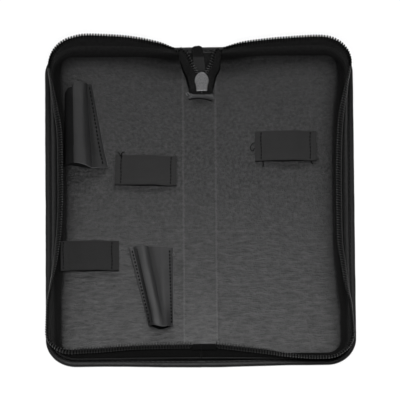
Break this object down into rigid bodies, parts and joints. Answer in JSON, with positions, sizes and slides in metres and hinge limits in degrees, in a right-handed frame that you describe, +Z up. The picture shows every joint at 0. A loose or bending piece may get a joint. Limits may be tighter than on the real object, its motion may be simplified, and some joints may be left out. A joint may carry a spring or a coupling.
{
  "type": "drafting instrument case",
  "caption": "Soft zip-around case for drafting instruments, lying open like a book: lined stiff covers, spine strip, gusset walls with a coil zip, tapered sheaths and elastic loops.",
  "frame": {"origin": "middle of the spine's outer face, on the surface that the open case lies on", "axes": "+X to the right across the open case, +Y along the spine towards the end where the slider is parked, +Z up out of the open inside"},
  "size_m": [0.192, 0.2228, 0.0128],
  "materials": {
    "outer_vinyl": "fine-grained matt black vinyl",
    "lining": "grained dark grey leatherette, matt",
    "board": "uncoated greyboard",
    "foam": "thin closed-cell foam sheet",
    "tape_cloth": "woven black polyester tape",
    "coil_nylon": "black nylon monofilament, slight gloss",
    "elastic": "black ribbed elastic webbing",
    "sheath_vinyl": "soft dark vinyl, fine grain",
    "thread": "spun black sewing thread",
    "slider_metal": "die-cast zinc, gunmetal grey, satin",
    "tab_enamel": "dark grey enamel on metal"
  },
  "bodies": {
    "spine": {"spine_skin": "outer_vinyl", "spine_board": "board", "spine_pad": "foam", "spine_lining": "lining", "spine_edge_bindings": "outer_vinyl", "left_tape_tail": "tape_cloth", "right_tape_tail": "tape_cloth", "left_coil_tail": "coil_nylon", "right_coil_tail": "coil_nylon", "spine_end_gusset": "outer_vinyl", "spine_end_facing": "tape_cloth", "spine_end_tape": "tape_cloth", "spine_end_coils": "coil_nylon", "spine_end_wrap": "tape_cloth"},
    "left_cover": {"left_cover_skin": "outer_vinyl", "left_board": "board", "left_pad": "foam", "left_lining": "lining", "left_edge_binding": "outer_vinyl", "left_rim_thread": "thread", "left_gusset": "outer_vinyl", "left_gusset_facing": "tape_cloth", "left_zip_tape": "tape_cloth", "left_zip_coil": "coil_nylon", "upper_sheath": "sheath_vinyl", "lower_sheath": "sheath_vinyl", "sheath_stitching": "thread", "centre_elastic_loop": "elastic", "lower_elastic_loop": "elastic", "left_loop_stitching": "thread"},
    "right_cover": {"right_cover_skin": "outer_vinyl", "right_board": "board", "right_pad": "foam", "right_lining": "lining", "right_edge_binding": "outer_vinyl", "right_rim_thread": "thread", "right_gusset": "outer_vinyl", "right_gusset_facing": "tape_cloth", "right_zip_tape": "tape_cloth", "right_zip_coil": "coil_nylon", "right_elastic_loop": "elastic", "right_loop_stitching": "thread"},
    "slider": {"slider_body": "slider_metal"},
    "pull_tab": {"pull_tab": "tab_enamel"}
  },
  "joints": [
    {"name": "left_fold", "type": "hinge", "parent": "spine", "child": "left_cover", "pos_m": [-0.0101, 0, 0.003], "axis": [0, 1, 0], "range_deg": [0, 90], "deforming": ["left_tape_tail", "left_coil_tail", "spine_end_gusset", "spine_end_facing", "spine_end_tape", "spine_end_coils", "spine_end_wrap"]},
    {"name": "right_fold", "type": "hinge", "parent": "spine", "child": "right_cover", "pos_m": [0.0101, 0, 0.003], "axis": [0, -1, 0], "range_deg": [0, 90], "deforming": ["right_tape_tail", "right_coil_tail", "spine_end_gusset", "spine_end_facing", "spine_end_tape", "spine_end_coils", "spine_end_wrap"]},
    {"name": "zip_run", "type": "slide", "parent": "spine", "child": "slider", "axis": [0, 1, 0], "range_m": [0, 0.01], "deforming": ["left_tape_tail", "right_tape_tail", "left_coil_tail", "right_coil_tail"]},
    {"name": "tab_lift", "type": "hinge", "parent": "slider", "child": "pull_tab", "pos_m": [0.0017, 0.0848, 0.00405], "axis": [0.9925, 0.1219, 0], "range_deg": [0, 8]}
  ]
}
